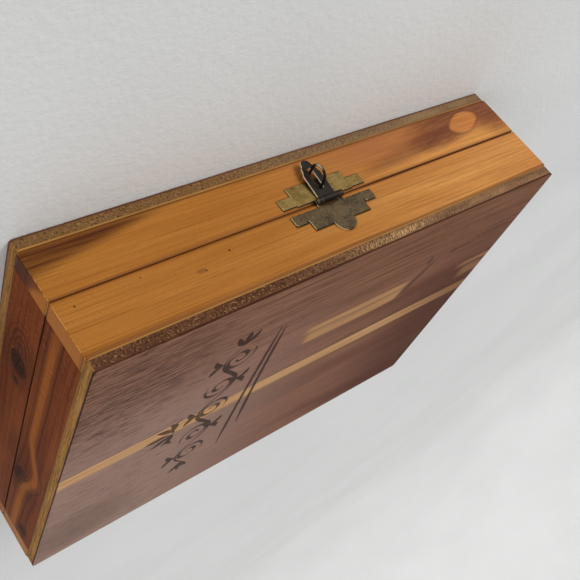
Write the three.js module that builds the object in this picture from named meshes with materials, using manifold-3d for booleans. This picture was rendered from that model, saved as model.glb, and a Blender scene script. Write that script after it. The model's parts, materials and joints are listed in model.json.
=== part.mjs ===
// Hinged wooden keepsake box with a light strip let into the lid face and a hasp and staple on the front.
// Millimetres. Origin at the centre of the underside, +X along the length, +Y to the hinges, +Z up.

import * as THREE from 'three';
import * as BufferGeometryUtils from 'three/addons/utils/BufferGeometryUtils.js';
import Module from 'manifold-3d';

const wasm = await Module();
wasm.setup();

// ---- Case ----

const LENGTH = 279.4; // 11 in
const DEPTH = 203.2; // 8 in
const HEIGHT = 63.5; // 2 1/2 in
const BOARD = 9.5; // wall boards, 3/8 in stock
const PANEL = 6.35; // top and bottom panels, 1/4 in three-layer board
const OUTER_PLY = 1.0;
const INNER_PLY = 0.9;
const PANEL_CORNER = 2.0; // rounding of the panels in plan
const SEAM_Z = 30.8; // where the lid parts from the base
const SEAM_GAP = 0.4;
const GLUE = 0.05; // glue line between wooden pieces, and behind plates

const FRONT_Y = -DEPTH / 2;
const BACK_Y = DEPTH / 2;
const BASE_RIM_Z = SEAM_Z - SEAM_GAP / 2;
const LID_RIM_Z = SEAM_Z + SEAM_GAP / 2;
const LID_PANEL_Z = HEIGHT - PANEL;

// ---- Strip in the lid face ----

const STRIP_WIDTH = 10.4;
const STRIP_MID_Y = -1.4; // where its centre line crosses the middle of the lid
const STRIP_SLOPE = -0.005; // rise in Y for each millimetre along X

// ---- Clasp ----

const CLASP_X = 0.8; // the clasp sits a little right of the middle
const STAPLE_PLATE_T = 0.6;
const HASP_PLATE_T = 0.8;
const STRAP_T = 0.75;
const STRAP_LIFT = THREE.MathUtils.degToRad(6.6); // how far the closed strap leans out
const CLASP_AXIS_Y = FRONT_Y - 2.25;
const CLASP_AXIS_Z = 31.2;
const CLASP_KNUCKLE_R = 1.6;
const CLASP_BORE_R = 0.9;
const CLASP_PIN_R = 0.8;
const BARREL_LENGTH = 15.2;
const STRAP_KNUCKLE = 10.0; // length of the strap's own knuckle
const KNUCKLE_GAP = 0.15;

// Distances down the strap from the pin, and its half widths
const STRAP_HALF = 5.2;
const SHOULDER_AT = 14.2;
const SHOULDER_DIP = 1; // how far past the shoulder its curve is pulled
const NECK_HALF = 4.1;
const NECK_AT = 17.6;
const TIP_R = 2.9;
const STRAP_END = 21.7;
const SLOT_HALF = 1.5;
const SLOT_FROM = 5.3;
const SLOT_TO = 17.2;

// Hasp plate: two wings, a middle tier and a round lobe, as heights and half widths
const HASP_EDGE_Z = 33.5;
const HASP_WING_HALF = 24.6;
const HASP_WING_Z = 38.9;
const HASP_MID_HALF = 17;
const HASP_MID_Z = 43.6;
const HASP_LOBE_R = 6.0;
const HASP_NOTCH_R = 0.9;
const HASP_CORNER_R = 1.8;

// Staple plate: two wings and a deeper middle
const STAPLE_WING_HALF = 25;
const STAPLE_WING_Z = [23.4, 29.1];
const STAPLE_MID_HALF = 17;
const STAPLE_MID_Z = [19.0, 29.6];

// Staple loop
const WIRE_R = 0.65;
const LOOP_R = 4.35; // to the middle of the wire
const LOOP_Z = 20.3;
const LOOP_LEG = 5.85; // straight part of each leg, from the wood outward
const LEG_HOLE = 2.0; // width of the square holes in the plate

// Prongs that hold the clasp plates to the wood
const PRONG_LENGTH = 5;
const PRONG_R = 0.8;
const PRONG_TIP_R = 0.15;
const PRONG_HOLE_R = 1.2;
const HASP_PRONGS = [[-20.5, 36], [20.5, 36], [-12, 41], [12, 41], [0, 46.5]];
const STAPLE_PRONGS = [[-21, 26.2], [21, 26.2], [-13, 21.5], [13, 21.5]];

// ---- Back hinges ----

const HINGE_X = 85; // distance of each hinge from the middle
const HINGE_LENGTH = 22;
const LEAF_REACH = 11; // from the pin to the far edge of a leaf
const LEAF_T = 0.9;
const LEAF_CORNER = 2;
const HINGE_KNUCKLE_R = 1.6;
const HINGE_BORE_R = 0.8;
const HINGE_PIN_R = 0.7;
const HINGE_PIN_END = 0.4; // how far the pin stands out of its barrel
const LEAF_CLEAR = 1.9; // from the pin to a leaf edge that faces another leaf's knuckle
const HINGE_AXIS_Y = BACK_Y + GLUE + HINGE_KNUCKLE_R;
const NAIL_X = 7;
const NAIL_REACH = 7; // from the pin line to a nail
const NAIL_SHANK_R = 0.55;
const NAIL_HOLE_R = 0.8;
const NAIL_HEAD_R = 1.3;
const NAIL_HEAD_H = 0.6;
const NAIL_LENGTH = 7;

// ---- Fineness ----

const ROUND_SIDES = 24;
const SMALL_SIDES = 12;
const PRONG_SIDES = 4;
const CORNER_STEPS = 4;
const ARC_STEPS = 12;
const LOOP_STEPS = 22;
const MERGE_TOLERANCE = 1e-4;
const OVERSHOOT = 1; // how far a cutter runs past the face it cuts

// ---- Materials ----

const finish = (color, roughness, metalness) =>
  new THREE.MeshStandardMaterial({ color, roughness, metalness });

const MATERIALS = {
  cedarWall: () => finish('#a86a32', 0.45, 0),
  cedarEnd: () => finish('#6f3a22', 0.45, 0),
  cedarFace: () => finish('#7c5240', 0.4, 0),
  plyCore: () => finish('#5d432b', 0.8, 0),
  plyInner: () => finish('#b57a45', 0.6, 0),
  stripWood: () => finish('#c08a5c', 0.4, 0),
  darkBrass: () => finish('#4f4638', 0.45, 0.9),
  lightBrass: () => finish('#9a8a52', 0.4, 0.9),
  hingeBrass: () => finish('#a08648', 0.4, 0.9),
};

// ---- Solid geometry ----

/** Reduces a geometry to merged positions, as a boolean needs. */
function mergedPositions(geometry) {
  const bare = geometry.index ? geometry.toNonIndexed() : geometry.clone();
  for (const name of ['normal', 'uv']) bare.deleteAttribute(name);
  return BufferGeometryUtils.mergeVertices(bare, MERGE_TOLERANCE);
}

function toManifold(geometry) {
  const bare = mergedPositions(geometry);
  const mesh = new wasm.Mesh({
    numProp: 3,
    vertProperties: new Float32Array(bare.attributes.position.array),
    triVerts: new Uint32Array(bare.index.array),
  });
  return new wasm.Manifold(mesh);
}

function fromManifold(solid) {
  const mesh = solid.getMesh();
  const geometry = new THREE.BufferGeometry();
  geometry.setAttribute('position', new THREE.BufferAttribute(mesh.vertProperties, mesh.numProp));
  geometry.setIndex(new THREE.BufferAttribute(mesh.triVerts, 1));
  geometry.computeVertexNormals();
  return geometry;
}

/** Joins the first list of geometries and takes the second list away. */
function combine(added, removed = []) {
  let solid = toManifold(added[0]);
  for (const geometry of added.slice(1)) solid = solid.add(toManifold(geometry));
  for (const geometry of removed) solid = solid.subtract(toManifold(geometry));
  return fromManifold(solid);
}

function makeMesh(name, geometry, material) {
  const mesh = new THREE.Mesh(geometry, MATERIALS[material]());
  mesh.name = name;
  return mesh;
}

/** A block between two corners. */
function block([x0, y0, z0], [x1, y1, z1]) {
  const geometry = new THREE.BoxGeometry(x1 - x0, y1 - y0, z1 - z0);
  return geometry.translate((x0 + x1) / 2, (y0 + y1) / 2, (z0 + z1) / 2);
}

/** A horizontal slab of an outline, from z0 to z1. */
function slab(shape, z0, z1) {
  const settings = { depth: z1 - z0, bevelEnabled: false, curveSegments: CORNER_STEPS };
  return new THREE.ExtrudeGeometry(shape, settings).translate(0, 0, z0);
}

/** An upright sheet of an outline drawn in X and Z, whose inner face lies at y and which is t thick outward. */
function frontSheet(shape, y, t) {
  const settings = { depth: t, bevelEnabled: false, curveSegments: ARC_STEPS };
  return new THREE.ExtrudeGeometry(shape, settings).rotateX(Math.PI / 2).translate(0, y, 0);
}

/** A rod along X. */
function rodX(radius, length, x, y, z) {
  const geometry = new THREE.CylinderGeometry(radius, radius, length, ROUND_SIDES);
  return geometry.rotateZ(Math.PI / 2).translate(x, y, z);
}

/** Keeps only the points where an outline turns, so that its faces and its edges share every point. */
function turningPoints(points) {
  const apart = points.filter((p, i) => p.distanceTo(points.at(i - 1)) > MERGE_TOLERANCE);
  return apart.filter((p, i) => {
    const along = p.clone().sub(apart.at(i - 1));
    const onward = apart[(i + 1) % apart.length].clone().sub(p);
    return Math.abs(along.cross(onward)) > MERGE_TOLERANCE;
  });
}

/** A closed outline from one half, given from the top of the mirror line to its foot. */
function mirrored(half) {
  const right = half.getPoints(ARC_STEPS);
  const left = right.map((p) => new THREE.Vector2(-p.x, p.y)).reverse();
  return new THREE.Shape(turningPoints([...right, ...left]));
}

// ---- Panels ----

/** Plan outline of a panel, or of the part of it between two lines y = a + slope x. */
function panelOutline(from = null, to = null) {
  const [hx, hy, r] = [LENGTH / 2, DEPTH / 2, PANEL_CORNER];
  const shape = new THREE.Shape();
  if (from === null) {
    shape.moveTo(-hx + r, -hy).lineTo(hx - r, -hy);
    shape.absarc(hx - r, -hy + r, r, -Math.PI / 2, 0);
  } else {
    shape.moveTo(-hx, from - STRIP_SLOPE * hx).lineTo(hx, from + STRIP_SLOPE * hx);
  }
  if (to === null) {
    shape.lineTo(hx, hy - r).absarc(hx - r, hy - r, r, 0, Math.PI / 2);
    shape.lineTo(-hx + r, hy).absarc(-hx + r, hy - r, r, Math.PI / 2, Math.PI);
  } else {
    shape.lineTo(hx, to + STRIP_SLOPE * hx).lineTo(-hx, to - STRIP_SLOPE * hx);
  }
  if (from === null) shape.lineTo(-hx, -hy + r).absarc(-hx + r, -hy + r, r, Math.PI, 1.5 * Math.PI);
  return shape;
}

function basePanel() {
  const outerTop = OUTER_PLY;
  const coreTop = PANEL - INNER_PLY - GLUE;
  return [
    makeMesh('base_panel_outer_ply', slab(panelOutline(), 0, outerTop), 'cedarFace'),
    makeMesh('base_panel_core_ply', slab(panelOutline(), outerTop + GLUE, coreTop), 'plyCore'),
    makeMesh('base_panel_inner_ply', slab(panelOutline(), coreTop + GLUE, PANEL), 'plyInner'),
  ];
}

function lidPanel() {
  const innerTop = LID_PANEL_Z + INNER_PLY;
  const faceFoot = HEIGHT - OUTER_PLY;
  const stripFront = STRIP_MID_Y - STRIP_WIDTH / 2;
  const stripBack = STRIP_MID_Y + STRIP_WIDTH / 2;
  const frontLeaf = panelOutline(null, stripFront - GLUE);
  const strip = panelOutline(stripFront, stripBack);
  const backLeaf = panelOutline(stripBack + GLUE, null);
  const core = slab(panelOutline(), innerTop + GLUE, faceFoot - GLUE);
  return [
    makeMesh('lid_panel_inner_ply', slab(panelOutline(), LID_PANEL_Z, innerTop), 'plyInner'),
    makeMesh('lid_panel_core_ply', core, 'plyCore'),
    makeMesh('lid_face_front_leaf', slab(frontLeaf, faceFoot, HEIGHT), 'cedarFace'),
    makeMesh('lid_inlay_strip', slab(strip, faceFoot, HEIGHT), 'stripWood'),
    makeMesh('lid_face_back_leaf', slab(backLeaf, faceFoot, HEIGHT), 'cedarFace'),
  ];
}

// ---- Wall boards ----

/** A cutter for a prong's hole in a front board. */
function prongHole([x, z]) {
  const length = PRONG_LENGTH + OVERSHOOT;
  const hole = new THREE.CylinderGeometry(PRONG_HOLE_R, PRONG_HOLE_R, length, SMALL_SIDES);
  return hole.translate(CLASP_X + x, FRONT_Y + length / 2 - OVERSHOOT / 2, z);
}

/** A cutter for a nail's hole in a back board or a leaf. */
function nailHole([x, z]) {
  const length = NAIL_LENGTH + 2 * OVERSHOOT;
  const hole = new THREE.CylinderGeometry(NAIL_HOLE_R, NAIL_HOLE_R, length, SMALL_SIDES);
  return hole.translate(x, BACK_Y + 2 * OVERSHOOT - length / 2, z);
}

/** Nail places on the base (side -1) or on the lid (side 1), for the hinge at x. */
function nailPlaces(x, side) {
  return [-NAIL_X, NAIL_X].map((dx) => [x + dx, SEAM_Z + side * NAIL_REACH]);
}

/** Four boards between z0 and z1: the long ones run full length and the end boards sit between them. */
function walls(prefix, z0, z1, prongs, side) {
  const [hx, hy] = [LENGTH / 2, DEPTH / 2];
  const frontBlank = block([-hx, -hy, z0], [hx, -hy + BOARD, z1]);
  const backBlank = block([-hx, hy - BOARD, z0], [hx, hy, z1]);
  const nails = [-HINGE_X, HINGE_X].flatMap((x) => nailPlaces(x, side));
  const endReach = hy - BOARD - GLUE;
  const leftEnd = block([-hx, -endReach, z0], [-hx + BOARD, endReach, z1]);
  const rightEnd = block([hx - BOARD, -endReach, z0], [hx, endReach, z1]);
  return [
    makeMesh(`${prefix}_front_board`, combine([frontBlank], prongs.map(prongHole)), 'cedarWall'),
    makeMesh(`${prefix}_back_board`, combine([backBlank], nails.map(nailHole)), 'cedarWall'),
    makeMesh(`${prefix}_left_end_board`, leftEnd, 'cedarEnd'),
    makeMesh(`${prefix}_right_end_board`, rightEnd, 'cedarEnd'),
  ];
}

// ---- Clasp ----

/** A square tapered prong, from the back of a plate into the wood. */
function prong([x, z]) {
  const length = PRONG_LENGTH - GLUE;
  const spike = new THREE.CylinderGeometry(PRONG_TIP_R, PRONG_R, length, PRONG_SIDES);
  return spike.translate(x, length / 2 - GLUE - PRONG_TIP_R, z);
}

function haspPlateShape() {
  const half = new THREE.Path();
  half.moveTo(0, HASP_MID_Z + HASP_LOBE_R);
  half.absarc(0, HASP_MID_Z, HASP_LOBE_R, Math.PI / 2, 0, true);
  half.lineTo(HASP_MID_HALF, HASP_MID_Z).lineTo(HASP_MID_HALF, HASP_WING_Z);
  half.absarc(HASP_MID_HALF + HASP_NOTCH_R, HASP_WING_Z, HASP_NOTCH_R, Math.PI, 2 * Math.PI);
  const cornerX = HASP_WING_HALF - HASP_CORNER_R;
  half.lineTo(cornerX, HASP_WING_Z);
  half.absarc(cornerX, HASP_WING_Z - HASP_CORNER_R, HASP_CORNER_R, Math.PI / 2, 0, true);
  half.lineTo(HASP_WING_HALF, HASP_EDGE_Z).lineTo(0, HASP_EDGE_Z);
  return mirrored(half);
}

/** Plate, prongs, and the two end knuckles on tabs that reach down over the seam. */
function haspPlate() {
  const plate = frontSheet(haspPlateShape(), -GLUE, HASP_PLATE_T - GLUE);
  const [inner, outer] = [STRAP_KNUCKLE / 2 + KNUCKLE_GAP, BARREL_LENGTH / 2];
  const axisY = CLASP_AXIS_Y - FRONT_Y;
  const length = outer - inner;
  const added = [plate, ...HASP_PRONGS.map(prong)];
  for (const side of [-1, 1]) {
    const mid = side * (inner + outer) / 2;
    const tabTop = HASP_EDGE_Z + OVERSHOOT;
    added.push(block([mid - length / 2, -HASP_PLATE_T, CLASP_AXIS_Z], [mid + length / 2, -GLUE, tabTop]));
    added.push(rodX(CLASP_KNUCKLE_R, length, mid, axisY, CLASP_AXIS_Z));
  }
  const bore = rodX(CLASP_BORE_R, BARREL_LENGTH + OVERSHOOT, 0, axisY, CLASP_AXIS_Z);
  return makeMesh('hasp_plate', combine(added, [bore]), 'darkBrass');
}

function strapShape() {
  const half = new THREE.Path();
  const tipMid = STRAP_END - TIP_R;
  half.moveTo(0, 0).lineTo(STRAP_HALF - KNUCKLE_GAP, 0).lineTo(STRAP_HALF - KNUCKLE_GAP, -LEAF_CLEAR);
  half.lineTo(STRAP_HALF, -LEAF_CLEAR - KNUCKLE_GAP).lineTo(STRAP_HALF, -SHOULDER_AT);
  half.quadraticCurveTo(NECK_HALF, -SHOULDER_AT - SHOULDER_DIP, NECK_HALF, -NECK_AT);
  half.lineTo(TIP_R, -tipMid).absarc(0, -tipMid, TIP_R, 0, -Math.PI / 2, true);
  const shape = mirrored(half);
  const slot = new THREE.Path();
  slot.moveTo(-SLOT_HALF, -SLOT_FROM - SLOT_HALF);
  slot.absarc(0, -SLOT_TO + SLOT_HALF, SLOT_HALF, Math.PI, 2 * Math.PI);
  slot.absarc(0, -SLOT_FROM - SLOT_HALF, SLOT_HALF, 0, Math.PI);
  shape.holes.push(slot);
  return shape;
}

/** Strap in its own frame: pin line at the origin, hanging down, back face toward +Y. */
function haspStrap() {
  const sheet = frontSheet(strapShape(), CLASP_KNUCKLE_R, STRAP_T);
  const knuckle = rodX(CLASP_KNUCKLE_R, STRAP_KNUCKLE, 0, 0, 0);
  const bore = rodX(CLASP_BORE_R, STRAP_KNUCKLE + OVERSHOOT, 0, 0, 0);
  return makeMesh('hasp_strap', combine([knuckle, sheet], [bore]), 'darkBrass');
}

function haspPin() {
  const pin = rodX(CLASP_PIN_R, BARREL_LENGTH, 0, CLASP_AXIS_Y - FRONT_Y, CLASP_AXIS_Z);
  return makeMesh('hasp_pin', pin, 'darkBrass');
}

/** Stepped plate with two square holes for the legs of the loop. */
function staplePlate() {
  const half = new THREE.Path();
  const [wingLow, wingHigh] = STAPLE_WING_Z;
  const [midLow, midHigh] = STAPLE_MID_Z;
  half.moveTo(0, midHigh).lineTo(STAPLE_MID_HALF, midHigh).lineTo(STAPLE_MID_HALF, wingHigh);
  half.lineTo(STAPLE_WING_HALF, wingHigh).lineTo(STAPLE_WING_HALF, wingLow);
  half.lineTo(STAPLE_MID_HALF, wingLow).lineTo(STAPLE_MID_HALF, midLow).lineTo(0, midLow);
  const reach = LEG_HOLE / 2;
  const holes = [-1, 1].map((side) => {
    const z = LOOP_Z + side * LOOP_R;
    return block([-reach, -OVERSHOOT, z - reach], [reach, OVERSHOOT, z + reach]);
  });
  const plate = frontSheet(mirrored(half), -GLUE, STAPLE_PLATE_T - GLUE);
  const solid = combine([plate, ...STAPLE_PRONGS.map(prong)], holes);
  return makeMesh('staple_plate', solid, 'lightBrass');
}

/** Out along one leg, over the half circle, and back along the other leg, in the YZ plane. */
class HoopCurve extends THREE.Curve {
  getPoint(t, target = new THREE.Vector3()) {
    const arc = Math.PI * LOOP_R;
    const along = t * (2 * LOOP_LEG + arc);
    if (along < LOOP_LEG) return target.set(0, -GLUE - along, LOOP_R);
    const turned = Math.min((along - LOOP_LEG) / LOOP_R, Math.PI);
    const back = Math.max(along - LOOP_LEG - arc, 0);
    const y = -GLUE - LOOP_LEG - LOOP_R * Math.sin(turned) + back;
    return target.set(0, y, LOOP_R * Math.cos(turned));
  }
}

function stapleLoop() {
  const section = new THREE.Shape().absarc(0, 0, WIRE_R, 0, 2 * Math.PI);
  const settings = { steps: LOOP_STEPS, curveSegments: SMALL_SIDES, extrudePath: new HoopCurve() };
  const loop = makeMesh('staple_loop', new THREE.ExtrudeGeometry(section, settings), 'darkBrass');
  loop.position.z = LOOP_Z;
  return loop;
}

function clasp() {
  const fixed = new THREE.Group();
  fixed.position.set(CLASP_X, FRONT_Y, 0);
  fixed.add(haspPlate(), haspPin(), staplePlate(), stapleLoop());
  const swinging = new THREE.Group();
  swinging.position.set(CLASP_X, CLASP_AXIS_Y, CLASP_AXIS_Z);
  swinging.rotation.x = -STRAP_LIFT;
  swinging.add(haspStrap());
  return [fixed, swinging];
}

// ---- Back hinges ----

/** Leaf outline with the pin line at height 0 and the leaf below it. The middle third is a gap or a tongue. */
function leafShape(hasTongue) {
  const half = new THREE.Path();
  const tongueHalf = HINGE_LENGTH / 3 / 2;
  const r = LEAF_CORNER;
  const [hx, foot] = [HINGE_LENGTH / 2, -LEAF_REACH];
  if (hasTongue) {
    const side = tongueHalf - KNUCKLE_GAP;
    half.moveTo(0, 0).lineTo(side, 0).lineTo(side, -LEAF_CLEAR).lineTo(hx, -LEAF_CLEAR);
  } else {
    const side = tongueHalf + KNUCKLE_GAP;
    half.moveTo(0, -LEAF_CLEAR).lineTo(side, -LEAF_CLEAR).lineTo(side, 0).lineTo(hx, 0);
  }
  half.lineTo(hx, foot + r).absarc(hx - r, foot + r, r, 0, -Math.PI / 2, true).lineTo(0, foot);
  return mirrored(half);
}

/** A leaf with its knuckles: side -1 hangs on the base and has the two outer ones, side 1 has the middle one. */
function hingeLeaf(name, x, side) {
  const onLid = side > 0;
  const sheet = frontSheet(leafShape(onLid), 0, LEAF_T);
  if (onLid) sheet.rotateY(Math.PI);
  sheet.translate(x, BACK_Y + GLUE + LEAF_T, SEAM_Z);
  const third = HINGE_LENGTH / 3;
  const length = third - 2 * KNUCKLE_GAP;
  const knuckleX = onLid ? [x] : [x - third, x + third];
  const knuckles = knuckleX.map((mid) => rodX(HINGE_KNUCKLE_R, length, mid, HINGE_AXIS_Y, SEAM_Z));
  const bore = rodX(HINGE_BORE_R, HINGE_LENGTH + OVERSHOOT, x, HINGE_AXIS_Y, SEAM_Z);
  const holes = nailPlaces(x, side).map(nailHole);
  return makeMesh(name, combine([sheet, ...knuckles], [bore, ...holes]), 'hingeBrass');
}

/** Round-headed nail driven in from behind: head outside the leaf, pointed shank in the wood. */
function hingeNail(name, [x, z]) {
  const profile = [
    new THREE.Vector2(0, -NAIL_LENGTH),
    new THREE.Vector2(NAIL_SHANK_R, 2 * NAIL_SHANK_R - NAIL_LENGTH),
    new THREE.Vector2(NAIL_SHANK_R, 0),
    new THREE.Vector2(NAIL_HEAD_R, 0),
  ];
  for (let i = 1; i <= CORNER_STEPS; i += 1) {
    const turn = (i / CORNER_STEPS) * Math.PI / 2;
    profile.push(new THREE.Vector2(NAIL_HEAD_R * Math.cos(turn), NAIL_HEAD_H * Math.sin(turn)));
  }
  profile.at(-1).x = 0;
  const nail = makeMesh(name, new THREE.LatheGeometry(profile, SMALL_SIDES), 'hingeBrass');
  nail.position.set(x, BACK_Y + LEAF_T + 2 * GLUE, z);
  return nail;
}

function backHinge(prefix, x) {
  const pinLength = HINGE_LENGTH + 2 * HINGE_PIN_END;
  const pin = rodX(HINGE_PIN_R, pinLength, x, HINGE_AXIS_Y, SEAM_Z);
  const baseNails = nailPlaces(x, -1).map((at, i) => hingeNail(`${prefix}_base_nail_${i + 1}`, at));
  const lidNails = nailPlaces(x, 1).map((at, i) => hingeNail(`${prefix}_lid_nail_${i + 1}`, at));
  return [
    hingeLeaf(`${prefix}_base_leaf`, x, -1),
    hingeLeaf(`${prefix}_lid_leaf`, x, 1),
    makeMesh(`${prefix}_pin`, pin, 'hingeBrass'),
    ...baseNails,
    ...lidNails,
  ];
}

// ---- The box ----

const box = new THREE.Group();
box.add(...basePanel(), ...walls('base', PANEL + GLUE, BASE_RIM_Z, STAPLE_PRONGS, -1));
box.add(...walls('lid', LID_RIM_Z, LID_PANEL_Z - GLUE, HASP_PRONGS, 1), ...lidPanel());
box.add(...clasp());
box.add(...backHinge('hinge_left', -HINGE_X), ...backHinge('hinge_right', HINGE_X));

export default box;
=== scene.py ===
import json
from math import atan2, cos, hypot, pi, radians, sin

import bmesh
import bpy
from mathutils import Matrix, Vector, noise
from mathutils.geometry import convex_hull_2d


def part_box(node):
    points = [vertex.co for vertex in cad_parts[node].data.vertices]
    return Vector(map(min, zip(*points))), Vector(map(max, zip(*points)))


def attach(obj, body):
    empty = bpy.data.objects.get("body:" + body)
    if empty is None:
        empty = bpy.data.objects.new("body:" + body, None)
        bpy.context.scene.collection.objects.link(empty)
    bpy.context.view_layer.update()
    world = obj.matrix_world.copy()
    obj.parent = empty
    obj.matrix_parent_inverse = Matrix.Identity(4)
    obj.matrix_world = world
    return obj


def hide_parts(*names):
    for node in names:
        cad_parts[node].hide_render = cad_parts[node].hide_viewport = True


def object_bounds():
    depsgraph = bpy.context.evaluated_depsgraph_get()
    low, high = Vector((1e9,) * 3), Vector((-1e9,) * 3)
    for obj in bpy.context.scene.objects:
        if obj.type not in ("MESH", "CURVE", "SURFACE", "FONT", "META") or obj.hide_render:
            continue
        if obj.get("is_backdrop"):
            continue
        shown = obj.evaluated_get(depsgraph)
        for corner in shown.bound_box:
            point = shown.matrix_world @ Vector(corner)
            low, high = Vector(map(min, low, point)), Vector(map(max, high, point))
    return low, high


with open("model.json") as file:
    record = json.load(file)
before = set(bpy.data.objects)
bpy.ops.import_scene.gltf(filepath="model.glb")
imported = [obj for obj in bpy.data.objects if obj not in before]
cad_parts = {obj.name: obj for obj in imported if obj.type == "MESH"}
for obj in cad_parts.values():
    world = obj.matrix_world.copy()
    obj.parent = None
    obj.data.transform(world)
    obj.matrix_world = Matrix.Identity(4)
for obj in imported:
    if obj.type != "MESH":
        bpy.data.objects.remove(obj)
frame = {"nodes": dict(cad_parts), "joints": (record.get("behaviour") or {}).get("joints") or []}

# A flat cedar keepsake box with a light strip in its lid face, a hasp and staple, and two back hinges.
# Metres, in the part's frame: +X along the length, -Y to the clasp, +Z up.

MM = 0.001
CAD_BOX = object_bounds()
JOINTS = {joint["name"]: joint for joint in frame["joints"]}

# ---- Camera, floor and light ----

CAMERA_AT = (0.25265, -0.36597, 0.17639)
CAMERA_AIM = (-0.02321, -0.00754, 0.02433)
CAMERA_ROLL = radians(142.52)
CAMERA_LENS_MM = 53.55
SENSOR_MM = 36.0
FLOOR_DROP = 0.0001
FLOOR_COLOURS = ("dfdfdd", "d8d8d6")
FLOOR_WIDTH = 30.0
FLOOR_NEAR = 15.0  # how far the floor reaches behind the camera
SWEEP_AT = 1.3  # where the backdrop starts to rise, beyond the box
SWEEP_RADIUS = 0.8
SWEEP_HEIGHT = 3.0
# a dark card beyond the box, as the camera sees it: its left and right edge, and its low and high edge
FLAG_COLOUR = "2a2826"
FLAG_SPAN = (-1.8, 0.22)
FLAG_RISE = (0.4, 2.6)
WORLD_COLOUR = "dadcde"
WORLD_STRENGTH = 0.86

# ---- Edges ----

WOOD_EDGE = 0.5 * MM  # eased edges of boards
PLY_EDGE = 0.1 * MM  # and of plies
PANEL_EDGE = 0.7 * MM  # rubbed-down outer edge of the base panel
RIM_INSET = 1.8  # the outermost ring of points on a piece's flat face, in edge radii from its side
WOOD_STEP = 2.0 * MM  # spacing of points round a wooden outline
EDGE_UNEVEN = 0.45  # how much an eased edge wanders, as a share of its inset
EDGE_WAVES = 70  # waves in a metre of an eased edge
FRAY_WAVES = 900  # and of a frayed side
PLY_FRAY = 0.05 * MM
CORE_FRAY = 0.22 * MM
SHARP_TURN = radians(40)  # corners that turn by less stay as they are
METAL_EDGE = 0.2 * MM
ROUND_STEPS = 64
SEED_STEP = 3.7  # between the wobbles of one wooden piece and the next


def linear(code):
    """A hex colour as linear red, green, blue and 1."""
    parts = [int(code[i:i + 2], 16) / 255 for i in (0, 2, 4)]
    curve = [c / 12.92 if c <= 0.04045 else ((c + 0.055) / 1.055) ** 2.4 for c in parts]
    return (*curve, 1.0)


# ==== Materials ====

def sum_node(operation):
    """A method that puts a value through one math node."""
    return lambda value, *others: value.shader.math(operation, value, *others)


class Value:
    """A number flowing through a material, written with ordinary sums."""

    def __init__(self, shader, socket):
        self.shader = shader
        self.socket = socket

    def __rsub__(self, other):
        return self.shader.math("SUBTRACT", other, self)

    __add__ = __radd__ = sum_node("ADD")
    __sub__ = sum_node("SUBTRACT")
    __mul__ = __rmul__ = sum_node("MULTIPLY")
    __truediv__ = sum_node("DIVIDE")
    __pow__ = sum_node("POWER")
    __abs__ = sum_node("ABSOLUTE")


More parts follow.
